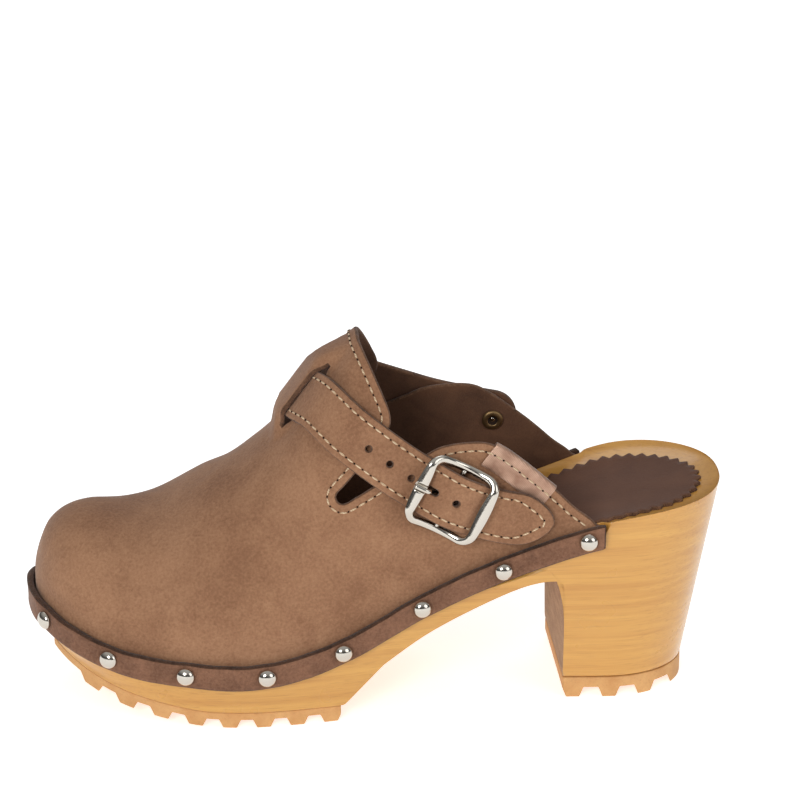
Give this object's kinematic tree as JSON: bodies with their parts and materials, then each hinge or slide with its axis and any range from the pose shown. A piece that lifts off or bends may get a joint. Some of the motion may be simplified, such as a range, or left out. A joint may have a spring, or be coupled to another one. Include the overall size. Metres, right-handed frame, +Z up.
{
  "type": "wooden clog",
  "caption": "Heeled wooden clog, left foot: block heel, platform forefoot with lugged rubber treads, nubuck upper nailed on under a rand, and a buckled instep strap.",
  "frame": {"origin": "under the middle of the clog's bounding box, on the ground", "axes": "toe towards -X, heel towards +X, outer (buckle) side towards -Y, +Z up"},
  "size_m": [0.2582, 0.1016, 0.1399],
  "materials": {
    "lacquered_wood": "clear satin lacquer over pale straight-grained wood, unlacquered on the heel's front face",
    "tread_rubber": "caramel rubber, semi-matt",
    "nubuck": "mid-brown nubuck, fine nap with soft lighter and darker patches",
    "rand_leather": "darker brown leather strip with a fuzzy cut edge",
    "sock_leather": "dark brown leather sock, pinked edge",
    "nickel": "polished nickel plate",
    "rivet_brass": "dull brass-coloured rivet washer",
    "satin_ribbon": "rose-gold satin ribbon, no lettering"
  },
  "bodies": {
    "clog": {"wooden_base": "lacquered_wood", "insole_pad": "sock_leather", "forefoot_tread": "tread_rubber", "heel_tread": "tread_rubber", "upper": "nubuck", "rand": "rand_leather", "strap": "nubuck", "strap_rivet": "nickel", "strap_rivet_washer": "rivet_brass", "chape": "nubuck", "chape_rivet": "nickel", "chape_rivet_washer": "rivet_brass", "ribbon_label": "satin_ribbon", "rand_stud_1": "nickel", "rand_stud_2": "nickel", "rand_stud_3": "nickel", "rand_stud_4": "nickel", "rand_stud_5": "nickel", "rand_stud_6": "nickel", "rand_stud_7": "nickel", "rand_stud_8": "nickel", "rand_stud_9": "nickel", "rand_stud_10": "nickel", "rand_stud_11": "nickel", "rand_stud_12": "nickel", "rand_stud_13": "nickel", "rand_stud_14": "nickel", "rand_stud_15": "nickel", "rand_stud_16": "nickel"},
    "buckle": {"buckle_frame": "nickel"},
    "prong": {"buckle_prong": "nickel"}
  },
  "joints": [
    {"name": "buckle_swing", "type": "hinge", "parent": "clog", "child": "buckle", "pos_m": [0.02507, -0.03807, 0.08703], "axis": [0.4632, 0.1065, 0.8798], "range_deg": [-1.5, 1.5]},
    {"name": "prong_lift", "type": "hinge", "parent": "buckle", "child": "prong", "pos_m": [0.02507, -0.03807, 0.08703], "axis": [0.4632, 0.1065, 0.8798], "range_deg": [0, 8]}
  ]
}
